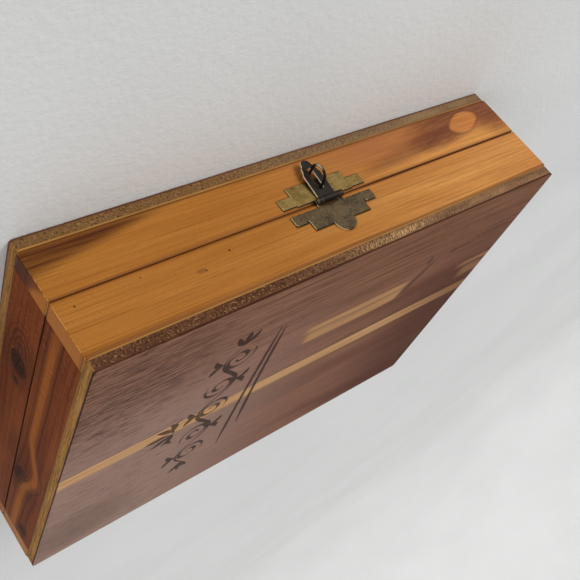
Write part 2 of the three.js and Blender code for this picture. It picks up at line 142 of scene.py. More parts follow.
class Shader:
    """One material, with short calls for the nodes that it is made of."""

    def __init__(self, name):
        self.material = bpy.data.materials.new(name)
        self.material.use_nodes = True
        self.tree = self.material.node_tree
        self.tree.nodes.clear()
        source = self.node("TexCoord")
        self.places = self.split(source.outputs["Object"])  # x, y and z in the part's frame, in metres
        self.normal = self.split(source.outputs["Normal"])
        self.facing = [abs(value) for value in self.normal]

    def feed(self, socket, value):
        """Links a value to a socket, or sets the socket to a number or a hex colour."""
        if isinstance(value, Value):
            self.tree.links.new(value.socket, socket)
        else:
            socket.default_value = linear(value) if isinstance(value, str) else value

    def node(self, kind, inputs=None, **settings):
        made = self.tree.nodes.new("ShaderNode" + kind)
        for name, setting in settings.items():
            setattr(made, name, setting)
        for name, value in (inputs or {}).items():
            self.feed(made.inputs[name], value)
        return made

    def value(self, kind, output, inputs=None, **settings):
        """A new node's output."""
        return Value(self, self.node(kind, inputs, **settings).outputs[output])

    def split(self, socket):
        return [Value(self, part) for part in self.node("SeparateXYZ", {0: Value(self, socket)}).outputs]

    def math(self, operation, *terms):
        return self.value("Math", 0, dict(enumerate(terms)), operation=operation)

    def noise(self, x, y, z, detail=2.0, roughness=0.5):
        point = self.value("CombineXYZ", 0, {0: x, 1: y, 2: z})
        inputs = {"Vector": point, "Scale": 1.0, "Detail": detail, "Roughness": roughness}
        return self.value("TexNoise", "Fac", inputs)

    def mottle(self, fineness, detail=2.0, roughness=0.5):
        """Noise that is as fine in every direction."""
        return self.noise(*(place * fineness for place in self.places), detail, roughness)

    def cells(self, fineness):
        """Distance to the nearest of many scattered points."""
        point = self.value("CombineXYZ", 0, dict(enumerate(self.places)))
        return self.value("TexVoronoi", "Distance", {"Vector": point, "Scale": fineness})

    def ease(self, value, low, high):
        """0 below low and 1 above high, or the other way if low is the greater, with a smooth rise."""
        first, last = (0.0, 1.0) if low < high else (1.0, 0.0)
        low, high = min(low, high), max(low, high)
        inputs = {"Value": value, "From Min": low, "From Max": high, "To Min": first, "To Max": last}
        return self.value("MapRange", "Result", inputs, interpolation_type="SMOOTHSTEP")

    def mix(self, factor, first, second):
        return self.value("Mix", 2, {0: factor, 6: first, 7: second}, data_type="RGBA")

    def scale(self, colour, factor):
        return self.value("VectorMath", 0, {"Vector": colour, "Scale": factor}, operation="SCALE")

    def attribute(self, name):
        return self.value("Attribute", "Fac", attribute_name=name)

    def surface(self, colour, roughness, height=None, depth=0.0, **fixed):
        """Ends the material. fixed holds numbers for the shader's own sockets, such as Metallic."""
        inputs = {"Base Color": colour, "Roughness": roughness}
        inputs |= {name.replace("_", " "): value for name, value in fixed.items()}
        body = self.node("BsdfPrincipled", inputs)
        if height is not None:
            bump = self.node("Bump", {"Height": height, "Distance": depth, "Strength": 1.0})
            self.tree.links.new(bump.outputs[0], body.inputs["Normal"])
        out = self.node("OutputMaterial")
        self.tree.links.new(body.outputs[0], out.inputs[0])
        return self.material

    def most(self, first, *others):
        """The greatest of several values."""
        for other in others:
            first = self.math("MAXIMUM", first, other)
        return first

    def spot(self, u, v, centre, size, soft=0.5):
        """1 inside an ellipse in mm, easing to 0 over soft times its size outside its edge."""
        du = (u - centre[0] * MM) / (size[0] * MM)
        dv = (v - centre[1] * MM) / (size[1] * MM)
        return self.ease(du * du + dv * dv, (1 + soft) ** 2, (1 - soft) ** 2)

    def bar(self, u, v, span, band, soft):
        """1 inside a span of u and a band of v, easing to 0 over soft in each, all in mm."""
        mask = 1.0
        for value, (low, high), fade in ((u, span, soft[0] * MM), (v, band, soft[1] * MM)):
            for edge, outside, within in ((low * MM, -fade, fade), (high * MM, fade, -fade)):
                mask = self.ease(value, edge + outside, edge + within) * mask
        return mask


class Wood(Shader):
    """Sawn wood: rings round a pith line, bent round knots, with fibres along the grain.

    axes names the axes along the grain, across the face and into the wood. Each knot is (along, across,
    half length, half width, halo, core, halo size, cracks). A crack is (slope along, slope across, offset).
    """

    def __init__(self, name, axes, seed, pith, spacing, colours, knots=(), line=0.5, wander=0.006):
        super().__init__(name)
        place = dict(zip("xyz", self.places))
        self.along, self.across, self.depth = (place[axis] for axis in axes)
        reaches = [self.knot_reach(*knot[:4]) for knot in knots]
        bent = self.across
        for reach, knot in zip(reaches, knots):
            bent = bent - (self.across - knot[1]) / (reach + 0.7)
        drift = self.noise(self.along * 4 + seed, bent * 14, self.depth * 14, 2.0)
        radius = ((bent - pith[0]) ** 2.0 + (self.depth - pith[1]) ** 2.0) ** 0.5 + drift * wander
        self.broad = self.noise(self.along * 5 + seed, radius * 55, 0.0, 3.0, 0.55)
        self.fine = self.noise(self.along * 22 + seed, radius * 900, self.depth * 200, 3.0, 0.6)
        self.fibre = self.noise(self.along * 130, self.across * 4200 + seed, self.depth * 4200, 2.0, 0.6)
        ring = self.math("FRACT", radius / spacing + self.broad * 2.5)
        light, mid, dark = colours
        tone = self.mix(self.ease(self.broad, 0.32, 0.68), light, mid)
        late = ring ** 4.0 * self.ease(self.broad, 0.2, 0.75) * line
        tone = self.mix(late, tone, dark)
        shade = (self.fine - 0.5) * 0.85 + (self.fibre - 0.5) * 0.55 + 1.0
        self.colour = self.scale(tone, shade)
        for reach, knot in zip(reaches, knots):
            self.draw_knot(reach, *knot[4:])
        self.height = self.fine * 0.5 + self.fibre * 0.5 - late * 0.5

    def knot_reach(self, u, v, long, tall):
        """Squared distance from a knot's middle, where 1 is its rim."""
        wobble = self.noise(self.along * 110, self.across * 110, self.depth * 20, 3.0, 0.6) - 0.5
        du = (self.along - u) / long
        dv = (self.across - v) / tall
        return self.most(du * du + dv * dv + wobble * 0.55, 0.0)

    def draw_knot(self, reach, halo, core, halo_size, cracks):
        """A darker halo that fades out along the grain, a core with rings, and cracks across it."""
        distance = reach ** 0.5
        rings = self.math("SINE", distance * 17 + self.broad * 16 + self.fine * 4) * 0.5 + 0.5
        self.paint(self.ease(distance, halo_size, 0.8) * (rings * 0.35 + 0.38), halo)
        self.paint(self.ease(distance, 1.15, 0.8) * (rings * 0.35 + 0.6), core)
        jag = self.noise(self.along * 300, self.across * 300, 0.0, 3.0, 0.7) * 0.0016
        inside = self.ease(distance, 0.85, 0.6)
        for along, across, offset in cracks:
            gap = abs(self.along * along + self.across * across - offset + jag)
            self.paint(self.ease(gap, 0.00035, 0.0001) * inside * 0.9, "120a07")

    def paint(self, mask, colour):
        self.colour = self.mix(mask, self.colour, colour)

    def surface(self, rough, shine, depth=0.05 * MM, coat=0.012):
        """Ends the material. shine runs from a matt 0 to a glossy 0.5. coat is the weight of the finish."""
        uneven = (self.fine - 0.5) * 0.16 + (self.broad - 0.5) * 0.12 + rough
        return super().surface(self.colour, uneven, self.height, depth, Specular_IOR_Level=shine,
                              Coat_Weight=coat, Coat_Roughness=0.4)


# dark for the metal's real pits, and for painted shade on its sides and dark spots
TARNISH_AND_SHADE = "15100b"
# near-black, for pinholes, cracks and the painted shade round the clasp plates
NEAR_BLACK = "20140f"
SEAM_Z = JOINTS["lid_hinge"]["pos_m"][2]
CLASP_X = JOINTS["hasp_hinge"]["pos_m"][0]
LID_PANEL_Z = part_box("lid_panel_inner_ply")[0].z
HONEY = ("c18748", "ad7238", "70401d")
RED = ("83441f", "682f13", "30140a")
AMBER = "86500f"
STREAK = "6a3a14"
SWIRL = "5c2f20"
GROOVE = "3a1a0d"
METALS = {  # the metal, its blotches, its specks, and its edges' colour as wear and painted highlight
    "dark_brass": ("5e4f38", "40362a", "80694a", "f4e2b6"),
    "strap_brass": ("211913", "17110c", "33291f", "f4e2bc"),
    "light_brass": ("8c7444", "705c30", "a28753", "f0dca0"),
    "hinge_brass": ("957a47", "755c32", "ac8f58", "e4c98c"),
    "nail_brass": ("b7995c", "957a45", "cbb077", "f0d99c"),
}


def long_streaks(s, strength):
    """Fine dark streaks along the front and back boards."""
    x, _, z = s.places
    streaks = s.noise(x * 9, z * 1300, 9.0, 3.0, 0.7)
    s.paint(s.ease(streaks, 0.5, 0.66) * strength, STREAK)


def front_details(s, slope, end_dark):
    """What both front boards share: amber, streaks and dust toward the right, a dark seam and the end grain.

    slope slants the end grain's rings, and the end grain is dark behind end_dark.
    """
    x, y, z = s.places
    right = s.ease(x, -0.11, 0.06)
    s.paint(right * 0.68, AMBER)
    long_streaks(s, right * 0.35 + 0.12)
    dust = s.noise(x * 900, z * 1100, 4.0, 2.0, 0.6)
    s.paint(s.ease(dust, 0.64, 0.72) * right * 0.5, "5a3212")
    s.paint(s.ease(abs(z - SEAM_Z), 0.0008, 0.0003) * s.ease(x, 0.01, -0.05) * 0.8, "321708")
    across = (y + z * slope + (s.broad - 0.5) * 0.004) * 3800
    rings = s.math("SINE", across + s.fine * 3) * 0.5 + 0.5
    on_end = s.ease(s.facing[0], 0.5, 0.8)
    s.paint(on_end * 0.9, s.mix(rings, "b46d27", "995a1b"))
    shade = s.ease(y + z * 0.9 + (s.broad - 0.5) * 0.012, end_dark, end_dark - 0.006)
    s.paint(on_end * shade * 0.9, s.mix(rings, "7c3908", "642a05"))
    corner = s.ease(s.facing[0], 0.2, 0.45) * s.ease(s.facing[0], 0.97, 0.85)
    s.paint(corner * s.ease(s.fine, 0.4, 0.54) * 0.45, "d0a06c")
    s.paint(s.ease(s.attribute("edge"), 0.55, 1.0) * (1 - corner) * 0.6, "5e2f10")


def plate_shade(s, bands, lobes=()):
    """Painted shade on the wood round a clasp plate and under its barrel, in mm.

    bands are its steps as (half width, low, high), and lobes its round ends as (z, radius).
    """
    x, y, z = s.places
    u = x - CLASP_X
    parts = [s.bar(u, z, (-half, half), (low, high), (0.5, 0.5)) for half, low, high in bands]
    parts += [s.spot(u, z, (0, middle), (radius, radius), 0.06) for middle, radius in lobes]
    # painted shade, on the outer face only
    s.paint(s.most(*parts) * s.ease(y, -0.098, -0.1005) * 0.85, NEAR_BLACK)


def front_lid_wood():
    s = Wood("lid_front_cedar", "xzy", 3.1, (-0.12, -0.16), 0.0021, HONEY)
    x, _, z = s.places
    front_details(s, 0.12, -0.2)
    # a dark line on the board just below the lid panel
    dark_line = s.ease(abs(z - LID_PANEL_Z + 0.0011), 0.0004, 0.0001)
    s.paint(dark_line * s.ease(s.broad, 0.4, 0.55) * 0.6, "5a2d10")
    s.paint(s.bar(x, z, (40, 160), (54.5, 56), (30, 0.6)) * 0.35, STREAK)
    s.paint(s.spot(x, z, (78.5, 41.5), (2.2, 0.9)) * 0.5, "5c3415")
    pinholes = ((76.4, 42.0, 0.4), (132.1, 36.1, 0.4), (61.5, 37.2, 0.5), (103.0, 34.5, 0.3))
    for u, v, size in pinholes:
        s.paint(s.spot(x, z, (u, v), (size, size)) * 0.85, NEAR_BLACK)
    # painted shade round the hasp plate, its lobe and under the barrel
    plate_shade(s, ((24.9, 33.2, 39.3), (17.3, 38.0, 44.0), (8.0, 30.0, 34.0)), [(43.0, 6.3)])
    return s.surface(0.36, 0.06)


def front_base_wood():
    s = Wood("base_front_cedar", "xzy", 7.4, (-0.1, -0.17), 0.0023, HONEY)
    x, _, z = s.places
    warp = (s.broad - 0.5) * 0.01 + (s.fine - 0.5) * 0.002
    front_details(s, -0.1, -0.0745)
    lower = s.ease(z + warp, 0.027, 0.015)
    s.paint(lower * s.ease(x, 0.03, -0.05) * 0.6, "844a30")
    # a pale knot at the left, in a dark swirl that trails off along the grain
    tilt = z + warp - (x + 0.1) * 0.1
    swirl = s.most(
        s.spot(x, tilt, (-91, 16.5), (17, 6), 0.8),
        s.spot(x, tilt, (-136, 15), (13, 12), 0.7),
        s.spot(x, tilt, (-115, 8), (32, 4), 0.8),
    )
    threads = s.noise(x * 60, tilt * 1100, 2.0, 3.0, 0.6)
    s.paint(swirl * (s.ease(threads, 0.38, 0.62) * 0.3 + 0.6), SWIRL)
    s.paint(s.spot(x, tilt, (-68, 17.5), (24, 3.4), 0.9) * 0.4, SWIRL)
    u = x + 0.112
    v = z - 0.0155 - u * 0.18
    reach = abs(u / 0.013) ** 1.7 + abs(v / 0.0062) ** 1.7 + (s.broad - 0.5) * 0.9
    s.paint(s.ease(reach, 1.5, 0.9) * 0.5, "4e281c")
    pale = s.mix(s.ease(s.fine, 0.35, 0.65), "ba7a44", "a4642f")
    s.paint(s.ease(reach, 1.15, 0.7) * 0.95, pale)
    # a dark wedge at the lower right
    rise = z + warp * 0.4 - (x - 0.139) * 0.17
    wedge = s.ease(rise, 0.0215, 0.015) * s.ease(x, 0.05, 0.1) * (s.ease(z, 0.0065, 0.009) * 0.3 + 0.7)
    streaks = s.noise(x * 16, z * 500, 3.0, 3.0, 0.6)
    s.paint(wedge * (s.ease(streaks, 0.38, 0.62) * 0.3 + 0.65), "3f1c0c")
    s.paint(s.bar(x, z + warp, (-60, -30), (23.5, 26.2), (12, 1.2)) * 0.4, "7a4a30")
    # painted shade round the staple plate and under the barrel
    plate_shade(s, ((25.3, 23.0, 29.5), (17.3, 18.6, 30.0), (8.0, 29.0, 32.0)))
    return s.surface(0.36, 0.06)


def back_wood():
    s = Wood("back_cedar", "xzy", 12.7, (-0.14, 0.19), 0.0024, HONEY)
    s.paint(s.ease(s.broad, 0.5, 0.8) * 0.5, "7d4220")
    long_streaks(s, 0.3)
    s.paint(s.ease(s.facing[0], 0.5, 0.8) * 0.5, "8a4c1e")
    return s.surface(0.38, 0.06)


def end_lid_wood():
    knots = [
        (0.037, 0.039, 0.0085, 0.007, "4e2814", "2c140b", 2.6,
         ((0.8, 0.6, 0.053), (-0.5, 0.9, 0.0166))),
        (0.0825, 0.0478, 0.004, 0.0035, "4a2513", "2a150d", 2.4, ()),
    ]
    s = Wood("lid_end_cedar", "yzx", 21.3, (-0.06, 0.05), 0.0034, RED, knots, line=0.8)
    _, y, z = s.places
    # an orange band that rises over the large knot and dips beyond it
    crest = s.math("SINE", s.ease(y, -0.01, 0.075) * 2 * pi) * 0.0045 + 0.0402
    lift = crest + s.ease(y, -0.005, 0.035) * s.ease(y, 0.075, 0.045) * 0.006
    offset = z - lift + (s.broad - 0.5) * 0.004
    gold = s.ease(abs(offset), 0.0034, 0.0008) * s.ease(y, -0.13, -0.06)
    threads = s.math("SINE", offset * 5200 + s.fine * 5) * 0.5 + 0.5
    s.paint(gold * 0.75, "a15e26")
    s.paint(s.ease(abs(offset), 0.0085, 0.0035) * threads * 0.35, "9a5a2a")
    s.paint(s.ease(abs(offset - 0.0052), 0.001, 0.0004) * 0.45, GROOVE)
    s.paint(s.ease(abs(offset + 0.005), 0.0009, 0.0003) * 0.4, GROOVE)
    saw_marks(s)
    return s.surface(0.4, 0.015)


def end_base_wood():
    knots = [
        (-0.0415, 0.02, 0.0072, 0.0062, "44210f", "200f09", 3.1,
         ((0.15, 1.0, 0.0138), (1.0, -0.3, -0.0475))),
        (-0.0285, 0.02, 0.0022, 0.0026, "54290f", "3a1b0d", 2.2, ()),
    ]
    s = Wood("base_end_cedar", "yzx", 27.9, (-0.08, 0.06), 0.003, RED, knots, line=0.7)
    _, y, z = s.places
    arcs = ((y + 0.052) ** 2.0 * 0.35 + (z - 0.0195) ** 2.0) ** 0.5
    bands = s.math("SINE", arcs * 2300 + s.broad * 8) * 0.5 + 0.5
    near = s.ease(arcs, 0.013, 0.006) * s.ease(y, -0.044, -0.056)
    s.paint(near * bands * 0.6, "34170b")
    s.paint(s.bar(y, z, (10, 32), (22, 31), (10, 3)) * 0.4, "3c1c10")
    saw_marks(s)
    return s.surface(0.4, 0.015)


def saw_marks(s):
    """Slanted rows of faint pale flecks left by the saw, and a dark line in the seam."""
    _, u, v = s.places
    rows = s.noise(u * 620 + v * 420, v * 420 - u * 160, 5.0, 2.0)
    s.paint(s.ease(rows, 0.6, 0.72) * s.ease(u, 0.0, -0.07) * 0.2, "c79a72")
    grooves = s.noise(u * 700 - v * 300, v * 160, 3.0, 2.0)
    s.paint(s.ease(grooves, 0.55, 0.7) * 0.35, "2c130a")
    s.paint(s.ease(abs(v - SEAM_Z), 0.0008, 0.0003) * 0.8, "1c0d07")


def lid_face_wood(name):
    """The lid's face: brown heartwood with pale sapwood streaks, a rough dark corner and the light strip."""
    browns = ("885d48", "714836", "3e2319")
    s = Wood(name, "xyz", 33.0, (-0.3, 0.4), 0.0045, browns, line=0.4, wander=0.02)
    x, y, _ = s.places
    v = y + (s.noise(x * 12, y * 60, 1.0, 2.0) - 0.5) * 0.006
    s.paint(s.ease(x, -0.03, -0.12) * s.ease(y, -0.12, 0.02) * 0.8, "4a2314")
    # painted reflection of the pale room toward the right end, partly the finish's own bloom
    bloom_and_sheen = s.ease(x + (s.broad - 0.5) * 0.08, -0.05, 0.09)
    s.paint(bloom_and_sheen * s.ease(y, -0.16, 0.02) * 0.52, "ac9184")
    s.paint(s.ease(y, -0.03, -0.08) * 0.35, "94664a")
    lines = s.noise(x * 14, y * 900, 4.0, 3.0, 0.65)
    s.paint(s.ease(v, -0.045, -0.062) * s.ease(lines, 0.5, 0.62) * 0.6, "33201a")
    pores = s.noise(x * 70, y * 1150, 7.0, 3.0, 0.65)
    s.paint(s.ease(pores, 0.54, 0.64) * (s.ease(x, -0.05, 0.12) * 0.45 + 0.15), "3a2821")
    corner = s.spot(x, v, (128, -70), (42, 40), 0.7)
    rough = s.noise(x * 90, y * 1100, 2.0, 4.0, 0.7)
    s.paint(corner * s.ease(rough, 0.48, 0.6) * 0.7, "241713")
    s.paint(s.spot(x, v, (118, 70), (24, 16), 0.8) * 0.35, "4a332b")
    sapwood = (
        ((-60, 9), (-39.2, -30.5), (4, 1), 1.0),
        ((-60, 11.5), (-46.3, -40.5), (5, 1.2), 1.0),
        ((-160, -120), (-26.2, -16), (4, 3), 0.45),
        ((-160, -112), (-34.2, -29), (7, 1.5), 0.6),
    )
    pale = s.most(*(s.bar(x, v, span, band, soft) * strength for span, band, soft, strength in sapwood))
    streaky = s.noise(x * 20, y * 1100, 6.0, 2.0)
    s.paint(pale * (s.ease(streaky, 0.35, 0.6) * 0.45 + 0.5), "ba8c5c")
    s.paint(s.bar(x, v, (-50, 10), (-38.8, -37.2), (12, 0.8)) * 0.5, "9a6a4a")
    slanted = x - (y + 0.044) * 0.55
    smudges = (
        s.bar(x, v, (-102, -86), (-62.2, -59.8), (6, 1.2)) * 0.5,
        s.spot(slanted, v, (-66, -44), (2.2, 12), 0.7) * 0.6,
        s.spot(x, v, (-67.7, -61), (1.6, 3), 0.6) * 0.6,
        s.spot(x, v, (-87.7, -60), (2.2, 2.2), 0.6) * 0.4,
    )
    for smudge in smudges:
        s.paint(smudge, "3c2822")
    crack = s.bar(x, v, (114, 150), (-63.7, -63.2), (4, 0.3))
    branch = s.bar(x, v - x * 0.9, (125, 139), (-179, -178.5), (3, 0.4))
    s.paint(s.most(crack, branch * 0.8), NEAR_BLACK)
    light_strip(s)
    s.paint(s.ease(s.facing[2], 0.75, 0.35) * 0.85, "32180f")
    return s


def light_strip(s):
    """The light strip, where the strip's own CAD outline has it."""
    x, y, _ = s.places
    low, high = STRIP_LINES
    front = y - (x * low[1] + low[0])
    back = y - (x * high[1] + high[0])
    streak = s.noise(x * 9, y * 420, 8.0, 3.0, 0.6)
    tone = s.mix(s.ease(streak, 0.35, 0.7), "c89c6e", "aa7c50")
    tone = s.mix(s.ease(x, -0.05, -0.14) * 0.8, tone, "704a2c")
    tone = s.scale(tone, (s.fibre - 0.5) * 0.4 + 1.0)
    s.paint(s.ease(front, -0.0001, 0.0001) * s.ease(back, 0.0001, -0.0001), tone)


def lid_face():
    return lid_face_wood("lid_face").surface(0.45, 0.015)


def burnt_face():
    """The lid's face again, scorched along the middle of each line of the flourish."""
    s = lid_face_wood("burnt_line")
    x, y, _ = s.places
    patchy = (s.noise(x * 900, y * 900, 3.0, 2.0) - 0.5) * 0.5
    burn = s.ease(s.attribute("edge") + patchy, 0.25, 0.65)
    s.paint(burn * 0.82, "2a1c18")
    s.height = s.height - burn * 3.0
    return s.surface(0.5, 0.015)


def base_face():
    browns = ("8f5f40", "74482f", "44291c")
    s = Wood("base_face", "xyz", 41.0, (-0.28, 0.35), 0.004, browns, wander=0.02)
    s.paint(s.ease(s.facing[2], 0.75, 0.35) * 0.7, "3a1e12")
    return s.surface(0.42, 0.06, 0.06 * MM)


def core_ply(name, end_colours, side_colours, right_colour, chips=None):
    """Crossband core: torn end grain on the long edges, streaky side grain on the short edges.

    The torn edge turns to right_colour toward the right, and is chipped bare round chips, an x and z in mm.
    """
    s = Shader(name)
    x, y, z = s.places
    right = s.ease(x, -0.1, 0.06)
    tufts = s.noise(x * 1500 - z * 700, y * 60, z * 420, 4.0, 0.75)
    drift = s.noise(x * 30, y * 2, z * 160, 3.0, 0.6)
    depth = (tufts - 0.5) * (right * 0.6 + 0.4) + drift * 0.3 + 0.35
    torn = s.mix(s.ease(depth, 0.38, 0.62), *end_colours)
    if chips is not None:
        bare = s.spot(x, z, chips, (22, 1.6), 0.6) * s.ease(tufts, 0.45, 0.58)
        torn = s.mix(bare * 0.75, torn, "b8905f")
    torn = s.mix(s.ease(x, -0.03, 0.06) * 0.72, torn, right_colour)
    flecks = s.noise(x * 1100 + z * 500, y * 60, z * 900, 2.0, 0.6)
    torn = s.mix(s.ease(flecks, 0.6, 0.68) * right * 0.5, torn, "b08c5e")
    torn = s.mix(s.ease(flecks, 0.44, 0.34) * (right * 0.6 + 0.2), torn, "1c120b")
    fibres = s.noise(x * 900, y * 70, z * 1300, 3.0, 0.7)
    side = s.mix(s.ease(fibres, 0.36, 0.62), *side_colours)
    marks = s.noise(x * 300, y * 420 + z * 300, z * 1500, 3.0, 0.7)
    side = s.mix(s.ease(marks, 0.57, 0.66) * 0.6, side, "4a2e16")
    colour = s.mix(s.ease(s.facing[0], 0.4, 0.8), torn, side)
    return s.surface(colour, 0.8, tufts + fibres * 0.5, 0.22 * MM, Specular_IOR_Level=0.08)


def inner_ply():
    tans = ("976a32", "805828", "57381a")
    s = Wood("inner_ply", "xyz", 52.0, (-0.4, 0.3), 0.0035, tans, line=0.3, wander=0.02)
    pores = s.cells(900)
    s.paint(s.ease(pores, 0.34, 0.16) * s.ease(s.facing[0], 0.5, 0.8) * 0.9, "20140c")
    return s.surface(0.55, 0.12, coat=0.0)


def metal(name, roughness, edge_weight, pits, patina=0.5, metallic=0.8, dark_spot=None):
    """Thin stamped metal: blotchy tarnish, small pits, sides darkened as painted shade, and edges toward the
    right brightened as wear and painted highlight.

    dark_spot is a dark spot's middle and size in x and z, in mm; on the staple plate it is the strap's
    painted shadow.
    """
    base, blotches, specks, bright = METALS[name]
    s = Shader(name)
    x, _, z = s.places
    blotch = s.mottle(200, 4.0, 0.65)
    speck = s.mottle(1500, 3.0, 0.65)
    tone = s.mix(s.ease(blotch, 0.36, 0.66), base, blotches)
    tone = s.mix(s.ease(speck, 0.52, 0.66) * patina, tone, specks)
    holes = s.ease(s.cells(520), 0.24, 0.1) * s.ease(s.mottle(300), 0.46, 0.58)
    tone = s.mix(holes * pits, tone, TARNISH_AND_SHADE)
    if dark_spot is not None:
        # a darker spot on the plate; under the strap it is painted shadow
        tone = s.mix(s.spot(x, z, *dark_spot, 0.45) * 0.8, tone, TARNISH_AND_SHADE)
    edge = s.attribute("edge")
    # painted shade: the sides and rims go dark
    tone = s.mix(s.ease(edge, 0.0, 0.8) * 0.95, tone, TARNISH_AND_SHADE)
    # wear and painted highlight: worn rims that face +X are lit bright
    wear_and_highlight = edge * s.ease(blotch + speck * 0.4, 0.4, 0.62) * s.ease(s.normal[0], 0.15, 0.5)
    tone = s.mix(wear_and_highlight * edge_weight, tone, bright)
    rough = (speck - 0.5) * 0.3 + roughness - wear_and_highlight * 0.14
    height = blotch * 0.6 + speck * 0.3 - holes * pits
    return s.surface(tone, rough, height, 0.1 * MM, Metallic=metallic, Specular_IOR_Level=0.15)


# ==== Shapes ====

def linked(name, data):
    obj = bpy.data.objects.new(name, data)
    bpy.context.scene.collection.objects.link(obj)
    return obj


def mesh_object(name, mesh, material, smooth=35.0):
    """An object with one material, shaded smooth across edges up to an angle in degrees."""
    obj = linked(name, mesh)
    mesh.materials.clear()
    mesh.materials.append(material)
    mesh.polygons.foreach_set("use_smooth", [True] * len(mesh.polygons))
    mesh.set_sharp_from_angle(angle=radians(smooth))
    return obj


def mesh_from(name, bm):
    """Ends a bmesh as a mesh with its faces pointing out."""
    bmesh.ops.recalc_face_normals(bm, faces=bm.faces)
    mesh = bpy.data.meshes.new(name)
    bm.to_mesh(mesh)
    bm.free()
    return mesh


def skin(bm, rings):
    """Joins rings of points, each to the next, and closes both ends."""
    for one, two in zip(rings, rings[1:]):
        for i in range(len(one)):
            j = (i + 1) % len(one)
            bm.faces.new((one[i], one[j], two[j], two[i]))
    bm.faces.new(list(reversed(rings[0])))
    bm.faces.new(rings[-1])


def set_edge(mesh, values):
    """Stores how near each point is to an edge, to the staple loop's painted highlight, or to the middle of a
    burnt line.
    """
    layer = mesh.attributes.get("edge") or mesh.attributes.new("edge", "FLOAT", "POINT")
    layer.data.foreach_set("value", values)


def wobble(place, fineness, seed=0.0):
    """A smooth value of about -1 to 1 that depends only on the place."""
    return noise.noise(Vector(place) * fineness + Vector((seed, 0, 0)))


def stand_for(obj, node, body, slot):
    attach(obj, body)
    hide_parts(node)


def move(mesh, *place):
    mesh.transform(Matrix.Translation(place))


def hull_outline(node):
    """A wooden node's plan outline as points in order, from the CAD mesh."""
    points = [v.co.to_2d() for v in frame["nodes"][node].data.vertices]
    return [points[i] for i in convex_hull_2d(points)]


def rounded_outline(points, radius, step):
    """The outline with its sharp corners rounded and its long sides divided."""
    found = []
    count = len(points)
    for i, point in enumerate(points):
        before = (points[i - 1] - point).normalized()
        after = (points[(i + 1) % count] - point).normalized()
        if before.dot(after) < -cos(SHARP_TURN):
            found.append(point)
            continue
        for t in (0.0, 0.29, 0.71, 1.0):
            found.append(point + before * radius * (1 - t) ** 2 + after * radius * t ** 2)
    divided = []
    for i, point in enumerate(found):
        onward = found[(i + 1) % len(found)] - point
        pieces = max(1, round(onward.length / step))
        divided += [point + onward * (k / pieces) for k in range(pieces)]
    return divided


def inward_normals(points):
    """The way into an outline at each of its points, which run anticlockwise."""
    normals = []
    for i in range(len(points)):
        along = points[(i + 1) % len(points)] - points[i - 1]
        normals.append(Vector((-along.y, along.x)).normalized())
    return normals


def board_levels(height, lower, upper):
    """(inset, rise, wear) for each ring of points up a piece of wood, from its bottom to its top."""
    levels = [(lower * RIM_INSET, 0.0, 0.0)]
    levels += [(lower * (1 - sin(a)), lower * (1 - cos(a)), 1.0) for a in quarter_turns()]
    tall = height - lower - upper
    count = max(1, round(tall / WOOD_STEP))
    levels += [(0.0, lower + tall * k / count, 0.0) for k in range(1, count)]
    levels += [(upper * (1 - sin(a)), height - upper * (1 - cos(a)), 1.0)
               for a in reversed(quarter_turns())]
    return levels + [(upper * RIM_INSET, height, 0.0)]


def wooden(node, body, slot, material, edges, rough, seed):
    """A piece of wood with eased, slightly uneven edges and sides frayed by up to rough.

    edges are the radii of its bottom and top edge.
    """
    low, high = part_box(node)
    height = high.z - low.z
    points = rounded_outline(hull_outline(node), max(edges), WOOD_STEP)
    inward = inward_normals(points)
    bm = bmesh.new()
    edge_weight = []
    rings = []
    for inset, rise, wear in board_levels(height, *edges):
        ring = []
        for point, normal in zip(points, inward):
            place = (point.x, point.y, low.z + rise)
            uneven = inset * (1 + EDGE_UNEVEN * wobble(place, EDGE_WAVES, seed)) if wear else inset
            frayed = rough * abs(wobble(place, FRAY_WAVES, seed)) if 0 < rise < height else 0.0
            at = point + normal * (uneven + frayed)
            ring.append(bm.verts.new((at.x, at.y, place[2])))
            edge_weight.append(wear)
        rings.append(ring)
    skin(bm, rings)
    mesh = mesh_from(node + "_wood", bm)
    set_edge(mesh, edge_weight)
    stand_for(mesh_object(node + "_wood", mesh, material, 50.0), node, body, slot)


def quarter_turns(steps=3):
    return [pi / 2 * k / steps for k in range(steps + 1)]


def arc(centre, radius, start, end, steps=12):
    """Points round an arc, angles in degrees."""
    turns = [radians(start + (end - start) * k / steps) for k in range(steps + 1)]
    return [(centre[0] + radius * cos(a), centre[1] + radius * sin(a)) for a in turns]


def add_spline(curve, points, closed):
    spline = curve.splines.new("POLY")
    spline.points.add(len(points) - 1)
    spline.use_cyclic_u = closed
    for point, place in zip(spline.points, points):
        point.co = (*place, 1)


def mesh_from_curve(curve):
    holder = bpy.data.objects.new(curve.name, curve)
    mesh = bpy.data.meshes.new_from_object(holder)
    bpy.data.objects.remove(holder)
    bpy.data.curves.remove(curve)
    return mesh


def plate_mesh(outlines, thick):
    """A flat plate with rounded edges. outlines lie in its plane: the outside first, then any holes."""
    curve = bpy.data.curves.new("plate", "CURVE")
    curve.dimensions = "2D"
    curve.fill_mode = "BOTH"
    curve.extrude = thick / 2 - METAL_EDGE
    curve.bevel_depth = METAL_EDGE
    curve.bevel_resolution = 2
    curve.offset = -METAL_EDGE
    for outline in outlines:
        add_spline(curve, [(u, v, 0) for u, v in outline], closed=True)
    mesh = mesh_from_curve(curve)
    flat = thick / 2 * 0.98
    # the plate's sides count as edge, for painted shade and painted highlight
    set_edge(mesh, [float(abs(v.co.z) < flat) for v in mesh.vertices])
    return mesh


